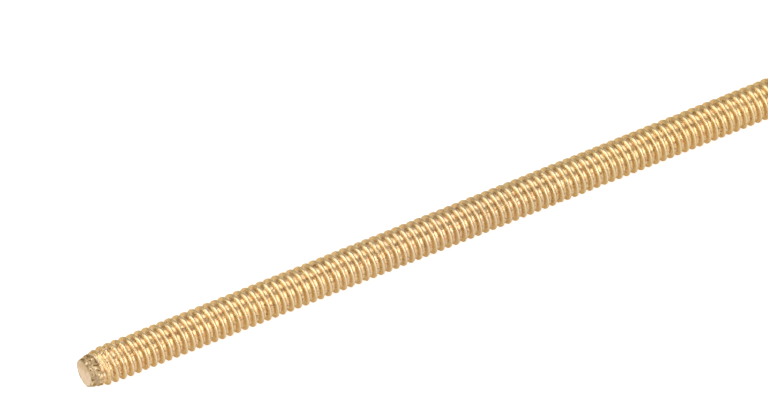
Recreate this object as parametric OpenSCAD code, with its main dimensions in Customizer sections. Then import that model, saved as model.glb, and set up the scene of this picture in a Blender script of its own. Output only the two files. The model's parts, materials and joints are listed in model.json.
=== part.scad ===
// Fully threaded rod with a right-hand thread, lying along X.
// The near end face is centred on the origin and the rod runs towards +X.

/* [Thread] */
// Diameter over the crests, the No. 10 machine screw size
major_d = 4.826; // [4:0.001:8]
// Turns of thread in one inch of length
turns_per_inch = 24; // [16:1:32]
// Angle round the axis, from +Y towards +Z, at which the crest leaves the near end face
start_angle = 152; // [0:1:359]

/* [Rod] */
// Length from one end face to the other
rod_l = 152.4; // [60:0.1:200]
// Diameter of each end face, inside its chamfer
face_d = 3.5; // [2.5:0.05:3.9]
// Length of the long, shallow chamfer at each end
chamfer_l = 2.4; // [0.5:0.1:4]

/* [Hidden] */

// The 60-degree unified thread form, all of it worked out from the pitch:
// an eighth of the pitch is flat on the crest, and the groove's depth is
// 17/24 of the height of the sharp triangle that the form is drawn in.
inch = 25.4;
pitch = inch / turns_per_inch;
crest_flat = pitch / 8;
sharp_h = pitch * cos(30);
groove_depth = sharp_h * 17 / 24;
major_r = major_d / 2;
root_r = major_r - groove_depth;

// One turn of the thread's outline, as [distance along the axis, radius].
// Each turn ends where the next one starts, on the leading edge of the crest.
outline = [
    [0, major_r],
    [crest_flat, major_r],
    [(pitch + crest_flat) / 2, root_r],
];

// The thread is drawn a little longer than the rod, and the blank trims it.
overrun = pitch / 4;
turns = ceil((rod_l + 2 * overrun) / pitch);

// Steps round the axis for each turn, shared out so that a rod with more
// turns stays as light as a rod with few.
facet_budget = 11600;
steps = max(6, floor(facet_budget / (2 * len(outline) * turns)));

// The endless thread: outlines stepped along a helix and joined by one closed
// skin. The skin starts and ends in a step one pitch high, closed on the axis.
module screw_thread() {
    rows = len(outline);
    last = turns * steps;
    points = [
        for (j = [0 : last + steps], p = outline)
            let (a = start_angle + 360 * j / steps)
                [p[0] + (j / steps - 1) * pitch - overrun, p[1] * cos(a), p[1] * sin(a)],
        [-pitch - overrun, 0, 0],
        [(turns + 1) * pitch - overrun, 0, 0],
    ];
    foot = len(points) - 2;
    head = len(points) - 1;

    // Number of the point in outline row k at step j, where row k = rows is
    // row 0 one turn further on
    function at(j, k) = (j + steps * floor(k / rows)) * rows + k % rows;
    // The points round the open end of the skin that starts at step j
    function rim(j) = concat([for (i = [j : j + steps]) at(i, 0)], [for (k = [rows - 1 : -1 : 1]) at(j, k)]);

    walls = [
        for (j = [0 : last - 1], k = [0 : rows - 1])
            each [
                [at(j, k), at(j, k + 1), at(j + 1, k)],
                [at(j + 1, k), at(j, k + 1), at(j + 1, k + 1)],
            ],
    ];
    near_rim = rim(0);
    far_rim = rim(last);
    n = len(near_rim);
    caps = [
        for (i = [0 : n - 1])
            each [
                [foot, near_rim[i], near_rim[(i + 1) % n]],
                [head, far_rim[(i + 1) % n], far_rim[i]],
            ],
    ];
    polyhedron(points, concat(walls, caps));
}

// The turned blank: flat end faces, and chamfer cones that run on past the
// crests, so that between the chamfers only the thread sets the outside.
module blank() {
    clear_r = major_r + pitch / 2;
    face_r = face_d / 2;
    cone_l = chamfer_l * (clear_r - face_r) / (major_r - face_r);
    rotate([0, 90, 0])
        rotate_extrude($fn = 96)
            polygon([
                [0, 0],
                [face_r, 0],
                [clear_r, cone_l],
                [clear_r, rod_l - cone_l],
                [face_r, rod_l],
                [0, rod_l],
            ]);
}

module threaded_rod() {
    color("#cda564")
        intersection() {
            screw_thread();
            blank();
        }
}

threaded_rod();
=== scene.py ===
"""Looks of the threaded rod: rolled brass thread, rough-turned chamfers and sawn end faces."""
import json
import math

import bpy
import numpy as np
from mathutils import Matrix, Vector


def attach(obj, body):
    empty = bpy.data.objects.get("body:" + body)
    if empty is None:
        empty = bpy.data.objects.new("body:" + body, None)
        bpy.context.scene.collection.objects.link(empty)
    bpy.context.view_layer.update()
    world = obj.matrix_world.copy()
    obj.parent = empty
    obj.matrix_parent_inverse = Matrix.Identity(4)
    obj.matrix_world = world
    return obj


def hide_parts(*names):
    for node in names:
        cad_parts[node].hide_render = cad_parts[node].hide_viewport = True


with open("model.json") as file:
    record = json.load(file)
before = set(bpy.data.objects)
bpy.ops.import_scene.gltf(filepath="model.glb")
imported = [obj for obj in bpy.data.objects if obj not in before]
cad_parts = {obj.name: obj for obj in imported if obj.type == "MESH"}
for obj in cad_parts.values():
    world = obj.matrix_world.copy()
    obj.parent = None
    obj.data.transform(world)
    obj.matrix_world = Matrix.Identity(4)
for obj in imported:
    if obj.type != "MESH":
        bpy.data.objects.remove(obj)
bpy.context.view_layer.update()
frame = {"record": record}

MM = 0.001
INCH = 25.4
NODE = "threaded_rod"
RNG = np.random.default_rng(1024)

# The rod, in millimetres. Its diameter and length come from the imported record. The rest is as in
# the part's source: a 60-degree unified thread, whose crest leaves the near end face at the angle
# START, from +Y towards +Z, and whose grooves are 17/24 as deep as their sharp triangle is high.
THREAD = next(m for m in frame["record"]["mounts"] if m["name"] == "thread")["dims"]
CREST_R = THREAD["r_mm"]
LENGTH = THREAD["length_mm"]
TURNS_PER_INCH = 24
PITCH = INCH / TURNS_PER_INCH
FLANK_ANGLE = math.radians(30)
SHARP_H = PITCH * math.cos(FLANK_ANGLE)
GROOVE = SHARP_H * 17 / 24
ROOT_R = CREST_R - GROOVE
START = math.radians(152)
FACE_R = 1.75
CHAMFER_L = 2.4

# The crest is wider than its nominal eighth of the pitch, round the same middle. That middle
# lies CREST_MIDDLE of a turn past the leading edge of the nominal crest.
CREST_W = PITCH / 5
CREST_MIDDLE = 1 / 16

# How widely the corners at crest and root are rounded
CREST_ROUND = 0.12
ROOT_ROUND = 0.3

# How far the surface wanders from the true form: all over, and as a loss from the crests that
# lie within END_REACH of an end
WOBBLE = 0.01
END_WOBBLE = 0.05
END_REACH = 5

# Depths of the tool marks on the chamfers and of the ragged rim, and how far the rim reaches
ROUGH_TURNING = 0.02
RAGGED_RIM = 0.02
RIM_FADE = 0.3

# Waves that the wear is made of: how many, and the longest and shortest of them
ROLLED_WAVES = (24, 9, 0.8)
TURNED_WAVES = (40, 1.6, 0.45)
RIM_WAVES = (20, 2.5, 0.5)

# Dents: how many, how deep, their usual size, the smallest and largest share of it, and how far
# from its middle a dent is worked out
DENTS = 160
DENT_DEPTH = 0.12
DENT_SIZE = 0.3
DENT_SHARES = (0.6, 1.3)
DENT_REACH = 4 * DENT_SIZE

# Mesh: columns round the axis, and shares of a turn from the crest's middle to the root's
# middle where the rows lie. The rings of the end faces are shares of their radius. Edges that
# bend by more than SHARP_EDGE aren't smoothed.
COLUMNS = 48
CREST_ROWS = (0, 0.055, 0.085, 0.115)
FLANK_ROWS = (0.24,)
ROOT_ROWS = (0.36, 0.42, 0.5)
FACE_RINGS = (0.97, 0.88, 0.7, 0.5, 0.25)
SHARP_EDGE = math.radians(34)

# Spare turns of rows before the near end and past the far end
TURNS_BEFORE = 2
TURNS_AFTER = 1

# Kinds of surface, in the order of the rod's materials
ROLLED, TURNED, SAWN = range(3)


# ---------------------------------------------------------------- shape of the rod


def soft_min(a, b, width):
    """The smaller of a and b, with the corner between them rounded over that width."""
    share = np.clip(0.5 + 0.5 * (b - a) / width, 0, 1)
    return b * (1 - share) + a * share - width * share * (1 - share)


def off_crest(share):
    """Distance along the axis from the middle of the nearest crest, at a share of a turn."""
    return np.abs((share + 0.5) % 1 - 0.5) * PITCH


def thread_r(share):
    """Radius of the thread's outline at a share of a turn."""
    flank = CREST_R - (off_crest(share) - CREST_W / 2) / math.tan(FLANK_ANGLE)
    crest = soft_min(flank, CREST_R, CREST_ROUND)
    return -soft_min(-crest, -ROOT_R, ROOT_ROUND)


def waves(count, longest, shortest):
    """A smooth random function of a place in millimetres, a sum of plane waves. Its values
    lie mostly between -1 and 1."""
    size = np.exp(RNG.uniform(math.log(shortest), math.log(longest), count))
    way = RNG.normal(size=(count, 3))
    way *= (math.tau / size / np.linalg.norm(way, axis=1))[:, None]
    phase = RNG.uniform(0, math.tau, count)
    share = size / np.sqrt((size**2).sum())

    def value(place):
        total = np.zeros(place.shape[:-1])
        for w, p, s in zip(way, phase, share):
            total += s * np.sin(place @ w + p)
        return total

    return value


def round_place(x, r, angle):
    """The place at x along the rod, at radius r and that angle round the axis."""
    return np.stack([x, r * np.cos(angle), r * np.sin(angle)], -1)


def dents(x, place):
    """How deep the points lie in dents, which are soft hollows strewn over the rod."""
    depth = np.zeros(x.shape)
    for _ in range(DENTS):
        middle = round_place(RNG.uniform(0, LENGTH), CREST_R, RNG.uniform(0, math.tau))
        near = np.abs(x - middle[0]) < DENT_REACH
        away = np.linalg.norm(place[near] - middle, axis=-1) / (DENT_SIZE * RNG.uniform(*DENT_SHARES))
        depth[near] = np.maximum(depth[near], DENT_DEPTH * np.exp(-(away**2)))
    return depth


def worn(x, r, angle, on_chamfer):
    """Places of the points after what rolling, turning and handling did to the true form:
    wavy flanks, beaten crests near the ends, rough chamfers, dents and ragged rims."""
    place = round_place(x, r, angle)
    from_end = np.minimum(x, LENGTH - x)
    on_crest = r > ROOT_R + GROOVE / 2
    near_end = np.clip(1 - from_end / END_REACH, 0, 1) * on_crest
    wobble = np.clip(waves(*ROLLED_WAVES)(place), -1, 1)
    r = r + WOBBLE * wobble + END_WOBBLE * near_end * (wobble - 1)
    tool_marks = ROUGH_TURNING * np.clip(1 + waves(*TURNED_WAVES)(place), 0, 2)
    r = r - np.where(on_chamfer, tool_marks, 0)
    r = r - dents(x, place)
    ragged = RAGGED_RIM * np.clip(1 + waves(*RIM_WAVES)(place), 0, 2)
    inward = ragged * np.clip(1 - from_end / RIM_FADE, 0, 1)
    x = np.where(x < LENGTH / 2, x + inward, x - inward)
    return round_place(x, r, angle)


def rows_of_turn():
    """Shares of a turn where the rows lie, from crest to root and up to the next crest."""
    half = CREST_ROWS + FLANK_ROWS + ROOT_ROWS
    return np.array(half + tuple(1 - s for s in half[-2:0:-1]))


def add_face(faces, corners, kind):
    """Adds a face of that kind, unless its corners fall together in fewer than three points."""
    corners = [int(c) for c in dict.fromkeys(corners)]
    if len(corners) > 2:
        faces.append((corners, kind))


def add_end(verts, faces, rim, x_end):
    """Closes the rod at x_end with a flat face: rings inside the rim, and a point in the middle.
    The two end faces look opposite ways, so their corners run in opposite orders."""
    order = 1 if x_end == 0 else -1
    ring = rim
    for scale in FACE_RINGS:
        inner = list(range(len(verts), len(verts) + COLUMNS))
        verts += [[x_end, verts[v][1] * scale, verts[v][2] * scale] for v in rim]
        for i in range(COLUMNS):
            n = (i + 1) % COLUMNS
            corners = (ring[n], ring[i], inner[i], inner[n])
            add_face(faces, corners[::order], SAWN)
        ring = inner
    centre = len(verts)
    verts.append([x_end, 0, 0])
    for i in range(COLUMNS):
        corners = (ring[(i + 1) % COLUMNS], ring[i], centre)
        add_face(faces, corners[::order], SAWN)


def rod_mesh():
    """The thread as columns of points along the axis. One turn round, column for column,
    leads from a row to the same row of the next turn."""
    one_turn = rows_of_turn()
    turns = math.ceil(LENGTH / PITCH) + TURNS_BEFORE + TURNS_AFTER
    rows = np.concatenate([t - TURNS_BEFORE + one_turn for t in range(turns)])
    columns = np.arange(COLUMNS)[:, None]
    angle = START + math.tau * columns / COLUMNS
    x_row = (rows[None, :] + columns / COLUMNS + CREST_MIDDLE) * PITCH
    x = np.clip(x_row, 0, LENGTH)
    thread = thread_r(x / PITCH - columns / COLUMNS - CREST_MIDDLE)
    cone = FACE_R + (CREST_R - FACE_R) * np.minimum(x, LENGTH - x) / CHAMFER_L
    on_chamfer = cone < thread
    verts = worn(x, np.minimum(thread, cone), angle, on_chamfer).reshape(-1, 3).tolist()
    on_chamfer = on_chamfer.reshape(-1)

    # Rows before the first and after the last that lies on the rod close up on its end
    first = (x_row <= 0).sum(1) - 1
    last = (x_row < LENGTH).sum(1)
    count = len(rows)
    ids = np.clip(np.arange(count)[None, :].repeat(COLUMNS, 0), first[:, None], last[:, None])
    ids = ids + columns * count
    next_turn = ids[0][np.minimum(np.arange(count) + len(one_turn), count - 1)]
    faces = []
    for i in range(COLUMNS):
        here = ids[i]
        there = ids[i + 1] if i + 1 < COLUMNS else next_turn
        for j in range(count - 1):
            corners = (here[j], there[j], there[j + 1], here[j + 1])
            add_face(faces, corners, TURNED if all(on_chamfer[c] for c in corners) else ROLLED)
    add_end(verts, faces, [int(v) for v in ids[:, 0]], 0)
    add_end(verts, faces, [int(v) for v in ids[:, -1]], LENGTH)

    used = sorted({v for corners, _ in faces for v in corners})
    new_id = {v: i for i, v in enumerate(used)}
    points = [[c * MM for c in verts[v]] for v in used]
    mesh = bpy.data.meshes.new("rod")
    mesh.from_pydata(points, [], [[new_id[v] for v in corners] for corners, _ in faces])
    mesh.polygons.foreach_set("material_index", [kind for _, kind in faces])
    mesh.polygons.foreach_set("use_smooth", [True] * len(faces))
    mesh.set_sharp_from_angle(angle=SHARP_EDGE)
    mesh.update()
    return mesh


# ---------------------------------------------------------------- materials

# Brass by place on the thread, on the chamfers and on the end faces, and what lies on it. On the
# thread the crests and roots are paler, as painted highlight, and the flanks darker and deeper in
# tone, as painted shade.
CREST_BRASS_PAINTED_HIGHLIGHT = (0.76, 0.68, 0.54)
FLANK_BRASS_PAINTED_SHADE = (0.67, 0.51, 0.29)
ROOT_BRASS_PAINTED_HIGHLIGHT = (0.96, 0.915, 0.85)
TURNED_BRASS = (0.37, 0.275, 0.16)
TURNED_WORN = (0.92, 0.77, 0.5)
SAWN_BRASS = (0.775, 0.665, 0.55)
SAWN_TOP_TINT = (0.58, 0.46, 0.3)
SAWN_RIM = (0.38, 0.32, 0.24)
GRIME = (0.2, 0.1, 0.035)
COPPER = (0.72, 0.32, 0.16)

# Lacquer on the thread, and the tint of bare brass seen edge-on
LACQUER = 0.05
LACQUER_ROUGH = 0.15
EDGE_TINT = (1, 0.83, 0.58)

# Where crests, grooves and roots begin and are in full, as shares of the way from the crest's
# middle to the root's middle
CREST_ZONE = (0.3, 0.13)
GROOVE_ZONE = (0.2, 0.6)
ROOT_ZONE = (0.62, 0.85)

# Tints that change along the rod, by the share of the rod's length from the near end
ALONG_ROD_TINTS = (
    (0, (1, 0.96, 0.88)),
    (0.17, (1, 0.97, 0.88)),
    (0.25, (1, 0.98, 0.93)),
    (0.34, (0.93, 0.9, 0.86)),
    (0.45, (0.97, 0.96, 0.88)),
    (0.55, (1, 0.96, 0.82)),
)

# Coordinates that follow the helix: the thread's outline becomes a circle of radius 1 in them,
# and a turn round the axis one of radius TURN_RADIUS, which each millimetre along the axis
# shifts by the share DRIFT of that radius
TURN_RADIUS = 0.16
DRIFT = 0.35


def node(tree, kind, sockets=(), **settings):
    """Adds a shader node. A socket's entry is its value, or the output that is linked to it."""
    new = tree.nodes.new("ShaderNode" + kind)
    for name, value in settings.items():
        setattr(new, name, value)
    for key, value in dict(sockets).items():
        if isinstance(value, bpy.types.NodeSocket):
            tree.links.new(value, new.inputs[key])
        else:
            new.inputs[key].default_value = value
    return new


def calc(tree, operation, *terms):
    """The result of a Math node on the terms."""
    return node(tree, "Math", enumerate(terms), operation=operation).outputs[0]


def grade(tree, value, low, high, bottom=0.0, top=1.0):
    """bottom to top, smoothly, as the value goes from low to high."""
    sockets = {"Value": value, "From Min": low, "From Max": high, "To Min": bottom, "To Max": top}
    return node(tree, "MapRange", sockets, interpolation_type="SMOOTHSTEP").outputs[0]


def blend(tree, share, a, b, how="MIX"):
    """Colour a, turning into b as share goes from 0 to 1."""
    sockets = {0: share}
    for key, value in ((6, a), (7, b)):
        sockets[key] = value if isinstance(value, bpy.types.NodeSocket) else (*value, 1)
    return node(tree, "Mix", sockets, data_type="RGBA", blend_type=how).outputs[2]


def noise(tree, vector, scale, detail, w=0.0):
    """A cloudy pattern, finer with scale and detail. Each w gives another pattern."""
    sockets = {"Vector": vector, "W": w, "Scale": scale, "Detail": detail}
    return node(tree, "TexNoise", sockets, noise_dimensions="4D").outputs[0]


def steps(tree, value, stops):
    """A colour ramp over the value."""
    ramp = node(tree, "ValToRGB", {0: value})
    while len(ramp.color_ramp.elements) < len(stops):
        ramp.color_ramp.elements.new(0.5)
    for element, (place, color) in zip(ramp.color_ramp.elements, stops):
        element.position = place
        element.color = (*color, 1)
    return ramp.outputs[0]


def bump(tree, height, distance, normal=None):
    """Bump of that many millimetres for a height of 1."""
    sockets = {"Height": height, "Distance": distance * MM}
    if normal:
        sockets["Normal"] = normal
    return node(tree, "Bump", sockets).outputs[0]


def new_brass(name):
    """A brass material, with its shader and with places on the rod, in millimetres."""
    material = bpy.data.materials.new(name)
    material.use_nodes = True
    tree = material.node_tree
    shader = tree.nodes["Principled BSDF"]
    shader.inputs["Metallic"].default_value = 1
    shader.inputs["Specular Tint"].default_value = (*EDGE_TINT, 1)
    metres = node(tree, "TexCoord").outputs["Object"]
    place = node(tree, "VectorMath", {0: metres, 1: (1 / MM,) * 3}, operation="MULTIPLY").outputs[0]
    split = node(tree, "SeparateXYZ", {0: place})
    x, y, z = split.outputs
    return material, tree, shader, place, x, y, z


def connect(tree, shader, **sockets):
    """Links outputs to the shader's sockets, with underscores for the spaces in their names."""
    for name, value in sockets.items():
        tree.links.new(value, shader.inputs[name.replace("_", " ")])


def from_nearest_end(tree, x):
    """Distance from the nearest end face."""
    return calc(tree, "MINIMUM", x, calc(tree, "MULTIPLY_ADD", x, -1, LENGTH))


def along_helix(tree, x, y, z):
    """The share of the way from crest to root, and four coordinates that run on without a seam
    along the thread, three in a vector and one by itself. They change fast across the thread
    and slowly along it."""
    angle = calc(tree, "ARCTAN2", z, y)
    turn = calc(tree, "MULTIPLY_ADD", angle, -1 / math.tau, START / math.tau - CREST_MIDDLE)
    share = calc(tree, "FRACT", calc(tree, "MULTIPLY_ADD", x, 1 / PITCH, turn))
    off = calc(tree, "MULTIPLY", calc(tree, "ABSOLUTE", calc(tree, "SUBTRACT", share, 0.5)), -2)
    off = calc(tree, "ADD", off, 1)
    phase = calc(tree, "MULTIPLY", share, math.tau)
    far = calc(tree, "MULTIPLY_ADD", x, DRIFT, calc(tree, "COSINE", angle))
    far = calc(tree, "MULTIPLY", far, TURN_RADIUS)
    across = {0: calc(tree, "COSINE", phase), 1: calc(tree, "SINE", phase), 2: far}
    fourth = calc(tree, "MULTIPLY", calc(tree, "SINE", angle), TURN_RADIUS)
    return off, node(tree, "CombineXYZ", across).outputs[0], fourth


def thread_brass():
    """Rolled thread: paler on the crests and in the roots as painted highlight, darker and deeper in
    tone on the flanks as painted shade, with drawn-out lines along the helix, flecks of copper and
    grime in the grooves, and tints that change along the rod."""
    material, tree, shader, place, x, y, z = new_brass("thread_brass")
    off, helix, helix_w = along_helix(tree, x, y, z)
    crest = grade(tree, off, *CREST_ZONE)
    root = grade(tree, off, *ROOT_ZONE)
    groove = grade(tree, off, *GROOVE_ZONE)
    lines = noise(tree, helix, 7, 4, helix_w)
    cloud = noise(tree, place, 0.8, 4)
    grain = noise(tree, place, 5, 3, 4.0)

    # Painted highlight and shade: crests and roots paler, flanks darker and deeper in tone
    color = blend(tree, crest, FLANK_BRASS_PAINTED_SHADE, CREST_BRASS_PAINTED_HIGHLIGHT)
    color = blend(tree, root, color, ROOT_BRASS_PAINTED_HIGHLIGHT)
    far = calc(tree, "MULTIPLY", x, 1 / LENGTH)
    # Tints that change along the rod, multiplied into the colour
    along_rod_tint = calc(tree, "ADD", far, grade(tree, cloud, 0.3, 0.7, -0.05, 0.05))
    color = blend(tree, 1.0, color, steps(tree, along_rod_tint, ALONG_ROD_TINTS), "MULTIPLY")
    color = blend(tree, grade(tree, lines, 0.42, 0.7, 0, 0.4), color, FLANK_BRASS_PAINTED_SHADE)
    flecks = grade(tree, noise(tree, place, 1.9, 2, 9.0), 0.55, 0.66, 0, 0.4)
    color = blend(tree, calc(tree, "MULTIPLY", flecks, groove), color, COPPER)
    dirt = grade(tree, noise(tree, place, 2.6, 5, 2.0), 0.53, 0.7, 0, 0.7)
    grime = calc(tree, "MULTIPLY", dirt, groove)
    color = blend(tree, grime, color, GRIME)

    # The last turns before each end are as dull as the chamfers
    from_end = from_nearest_end(tree, x)
    dull = grade(tree, calc(tree, "MULTIPLY_ADD", cloud, -2, from_end), 0.9, 0.1)
    color = blend(tree, calc(tree, "MULTIPLY", dull, 0.75), color, TURNED_BRASS)

    rough = grade(tree, cloud, 0.3, 0.7, 0.15, 0.25)
    rough = calc(tree, "ADD", rough, calc(tree, "MULTIPLY", grime, 0.3))
    rough = calc(tree, "ADD", rough, calc(tree, "MULTIPLY", dull, 0.25))
    rough = calc(tree, "ADD", rough, grade(tree, grain, 0.3, 0.8, 0, 0.08))
    shape = bump(tree, lines, 0.025)
    shape = bump(tree, grain, 0.008, shape)
    beaten = calc(tree, "MULTIPLY", noise(tree, place, 1.7, 3, 11.0), grade(tree, from_end, 7.5, 2.5))
    shape = bump(tree, beaten, 0.25, shape)
    shader.inputs["Coat Weight"].default_value = LACQUER
    shader.inputs["Coat Roughness"].default_value = LACQUER_ROUGH
    connect(tree, shader, Base_Color=color, Roughness=rough, Normal=shape)
    return material


def turned_brass():
    """Chamfer: dull, with fine rings from the tool, pits, and a few worn bright spots. Where it
    meets the thread, it takes on the colour of the flanks."""
    material, tree, shader, place, x, y, z = new_brass("turned_brass")
    blotch = noise(tree, place, 1.6, 6, 3.0)
    pits = noise(tree, place, 3.2, 6, 6.0)
    ring_place = node(tree, "CombineXYZ", {0: calc(tree, "MULTIPLY", x, 14), 1: y, 2: z}).outputs[0]
    rings = noise(tree, ring_place, 1, 3, 1.0)

    color = blend(tree, grade(tree, blotch, 0.46, 0.6, 0, 0.9), TURNED_BRASS, TURNED_WORN)
    color = blend(tree, grade(tree, rings, 0.45, 0.7, 0, 0.35), color, TURNED_WORN)
    pitted = grade(tree, pits, 0.47, 0.61, 0, 0.9)
    color = blend(tree, pitted, color, GRIME)
    from_end = from_nearest_end(tree, x)
    color = blend(tree, grade(tree, from_end, 1.3, 2.1, 0, 0.8), color, FLANK_BRASS_PAINTED_SHADE)
    rough = grade(tree, blotch, 0.4, 0.7, 0.46, 0.3)
    rough = calc(tree, "ADD", rough, calc(tree, "MULTIPLY", pitted, 0.3))
    shape = bump(tree, rings, 0.03)
    shape = bump(tree, calc(tree, "MULTIPLY", pits, -1), 0.12, shape)
    connect(tree, shader, Base_Color=color, Roughness=rough, Normal=shape)
    return material


def face_line(tree, y, z, y_share, z_share):
    """A coordinate in the plane of the end face, made up of shares of y and z."""
    return calc(tree, "MULTIPLY_ADD", z, z_share, calc(tree, "MULTIPLY", y, y_share))


def sawn_brass():
    """End face: pale and matte, with slanting saw marks, a darker, warmer tone towards the top and a
    darker rim.
    """
    material, tree, shader, place, x, y, z = new_brass("sawn_brass")
    across = calc(tree, "MULTIPLY", face_line(tree, y, z, 0.9, 0.45), 9)
    along = calc(tree, "MULTIPLY", face_line(tree, y, z, -0.45, 0.9), 0.6)
    saw_place = node(tree, "CombineXYZ", {0: across, 1: along, 2: x}).outputs[0]
    marks = noise(tree, saw_place, 1, 4, 5.0)
    cloud = noise(tree, place, 1.1, 4, 7.0)
    grain = noise(tree, place, 9, 2, 8.0)
    from_axis = calc(tree, "SQRT", calc(tree, "MULTIPLY_ADD", y, y, calc(tree, "MULTIPLY", z, z)))
    edge = calc(tree, "ADD", from_axis, grade(tree, cloud, 0.3, 0.7, -0.12, 0.12))

    color = blend(tree, grade(tree, marks, 0.4, 0.68, 0, 0.3), SAWN_BRASS, SAWN_RIM)
    # A darker, warmer tone towards the top of the end face
    high = calc(tree, "ADD", z, grade(tree, cloud, 0.3, 0.7, -0.7, 0.7))
    color = blend(tree, grade(tree, high, -0.4, 1.4, 0, 0.85), color, SAWN_TOP_TINT)
    color = blend(tree, grade(tree, edge, FACE_R - 0.3, FACE_R - 0.08, 0, 0.85), color, SAWN_RIM)
    color = blend(tree, grade(tree, grain, 0.62, 0.75, 0, 0.5), color, GRIME)
    rough = grade(tree, marks, 0.3, 0.7, 0.5, 0.62)
    shape = bump(tree, marks, 0.03)
    shape = bump(tree, grain, 0.01, shape)
    connect(tree, shader, Base_Color=color, Roughness=rough, Normal=shape)
    return material


rod = bpy.data.objects.new("rod", rod_mesh())
bpy.context.scene.collection.objects.link(rod)
for make in (thread_brass, turned_brass, sawn_brass):
    rod.data.materials.append(make())
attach(rod, "root")
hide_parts(NODE)


# ---------------------------------------------------------------- studio

# Floor: half its side, its paint, and its glow, as the camera sees it and as metal mirrors it
FLOOR_HALF = 4
FLOOR_COLOR = (0.6, 0.6, 0.6, 1)
FLOOR_GLOW = 0.75
FLOOR_MIRRORED = 0.36
WHITE = (1, 1, 1)
MIRRORED_COLOR = (1.2, 0.97, 0.67)

# Room: the warm walls that metal mirrors, and the grey light from all round on everything else
ROOM_COLOR = (0.575, 0.485, 0.345, 1)
AMBIENT = 0.45

# Lamps: name, rise and turn in degrees, distance from MIDDLE, width and height in metres, and
# brightness. MIDDLE lies on the axis, about a third of the way along the rod. A lamp is in line
# with the rod if the rod, seen from it, looks shorter than IN_LINE of its length.
MIDDLE = Vector((0.05, 0, 0))
IN_LINE = 0.5
LAMPS = (
    ("front", 21, 111, 0.8, 0.55, 0.71, 2.57),
    ("overhead", 101.5, 105, 1.0, 1.4, 0.7, 1.47),
    ("near_side", 96, 160, 0.9, 1.2, 0.6, 1.8),
    ("fill", 44, 53, 0.9, 0.5, 0.6, 0.9),
)


def make_floor():
    """The floor that the rod lies on. It takes shadows. Its glow shows to the camera and in what
    metal mirrors, and lights nothing else."""
    half = FLOOR_HALF
    z = -CREST_R * MM
    mesh = bpy.data.meshes.new("floor")
    corners = [(-half, -half, z), (half, -half, z), (half, half, z), (-half, half, z)]
    mesh.from_pydata(corners, [], [(0, 1, 2, 3)])
    floor = bpy.data.objects.new("floor", mesh)
    bpy.context.scene.collection.objects.link(floor)
    material = bpy.data.materials.new("floor")
    material.use_nodes = True
    tree = material.node_tree
    tree.nodes.clear()
    path = node(tree, "LightPath").outputs
    in_metal = calc(tree, "MAXIMUM", path["Is Glossy Ray"], path["Is Transmission Ray"])
    seen = calc(tree, "MULTIPLY", path["Is Camera Ray"], FLOOR_GLOW)
    color = blend(tree, path["Is Camera Ray"], MIRRORED_COLOR, WHITE)
    strength = calc(tree, "MULTIPLY_ADD", in_metal, FLOOR_MIRRORED, seen)
    glow = node(tree, "Emission", {"Color": color, "Strength": strength})
    paint = node(tree, "BsdfDiffuse", {"Color": FLOOR_COLOR})
    both = node(tree, "AddShader", {0: paint.outputs[0], 1: glow.outputs[0]})
    node(tree, "OutputMaterial", {"Surface": both.outputs[0]})
    mesh.materials.append(material)


def make_world():
    """White to the camera, warm in what metal mirrors, and soft grey light for the rest."""
    world = bpy.data.worlds.new("room")
    bpy.context.scene.world = world
    world.use_nodes = True
    tree = world.node_tree
    tree.nodes.clear()
    path = node(tree, "LightPath").outputs
    room = node(tree, "Background", {"Color": ROOM_COLOR}).outputs[0]
    white = node(tree, "Background", {"Color": (*WHITE, 1)}).outputs[0]
    soft = node(tree, "Background", {"Color": (AMBIENT, AMBIENT, AMBIENT, 1)}).outputs[0]
    around = node(tree, "MixShader", {0: path["Is Glossy Ray"], 1: soft, 2: room}).outputs[0]
    mix = node(tree, "MixShader", {0: path["Is Camera Ray"], 1: around, 2: white}).outputs[0]
    node(tree, "OutputWorld", {"Surface": mix})


def softbox(name, rise, turn, distance, width, height, brightness):
    """A rectangular lamp that faces the rod. rise is its angle above the floor round the rod's
    axis, from the front, and turn its angle from the far end of the axis. Its height lies across
    the axis, or, if the lamp is in line with the rod, its width does."""
    rise, turn = math.radians(rise), math.radians(turn)
    out = Vector((math.cos(turn), -math.sin(turn) * math.cos(rise), math.sin(turn) * math.sin(rise)))
    side = Vector((1, 0, 0)) - out * out.x
    if side.length < IN_LINE:
        side = Vector((0, 1, 0)) - out * out.y
    side.normalize()
    up = out.cross(side)
    lamp = bpy.data.lights.new(name, "AREA")
    lamp.shape = "RECTANGLE"
    lamp.size = width
    lamp.size_y = height
    lamp.energy = brightness * math.pi * width * height
    holder = bpy.data.objects.new(name, lamp)
    bpy.context.scene.collection.objects.link(holder)
    facing = Matrix((side, up, out)).transposed().to_4x4()
    holder.matrix_world = Matrix.Translation(MIDDLE + distance * out) @ facing
    holder.visible_camera = False


make_floor()
make_world()
for lamp in LAMPS:
    softbox(*lamp)


# ---------------------------------------------------------------- camera

# The view's tilt down and its turn from the rod's axis, the camera's distance along the view,
# and where the middle of the near end face lies, right of and above the middle of the view.
# The sensor and the lens are in millimetres, and the camera sees as far as SIGHT.
VIEW_DOWN = math.radians(41.20)
VIEW_TURN = math.radians(58.69)
AWAY = 1.32055
NEAR_END = (-0.035680, -0.020650)
SENSOR = 36
LENS = 520.11
SIGHT = 20


def make_camera():
    """The camera looks down on the rod from the side of its near end."""
    level = math.cos(VIEW_DOWN)
    forward = Vector((level * math.cos(VIEW_TURN), level * math.sin(VIEW_TURN), -math.sin(VIEW_DOWN)))
    right = forward.cross(Vector((0, 0, 1))).normalized()
    up = right.cross(forward)
    data = bpy.data.cameras.new("camera")
    data.sensor_width = SENSOR
    data.lens = LENS
    data.clip_end = SIGHT
    camera = bpy.data.objects.new("camera", data)
    bpy.context.scene.collection.objects.link(camera)
    camera.location = -(forward * AWAY + right * NEAR_END[0] + up * NEAR_END[1])
    camera.rotation_mode = "QUATERNION"
    camera.rotation_quaternion = forward.to_track_quat("-Z", "Y")
    bpy.context.scene.camera = camera


make_camera()
bpy.context.scene.view_settings.view_transform = "Standard"
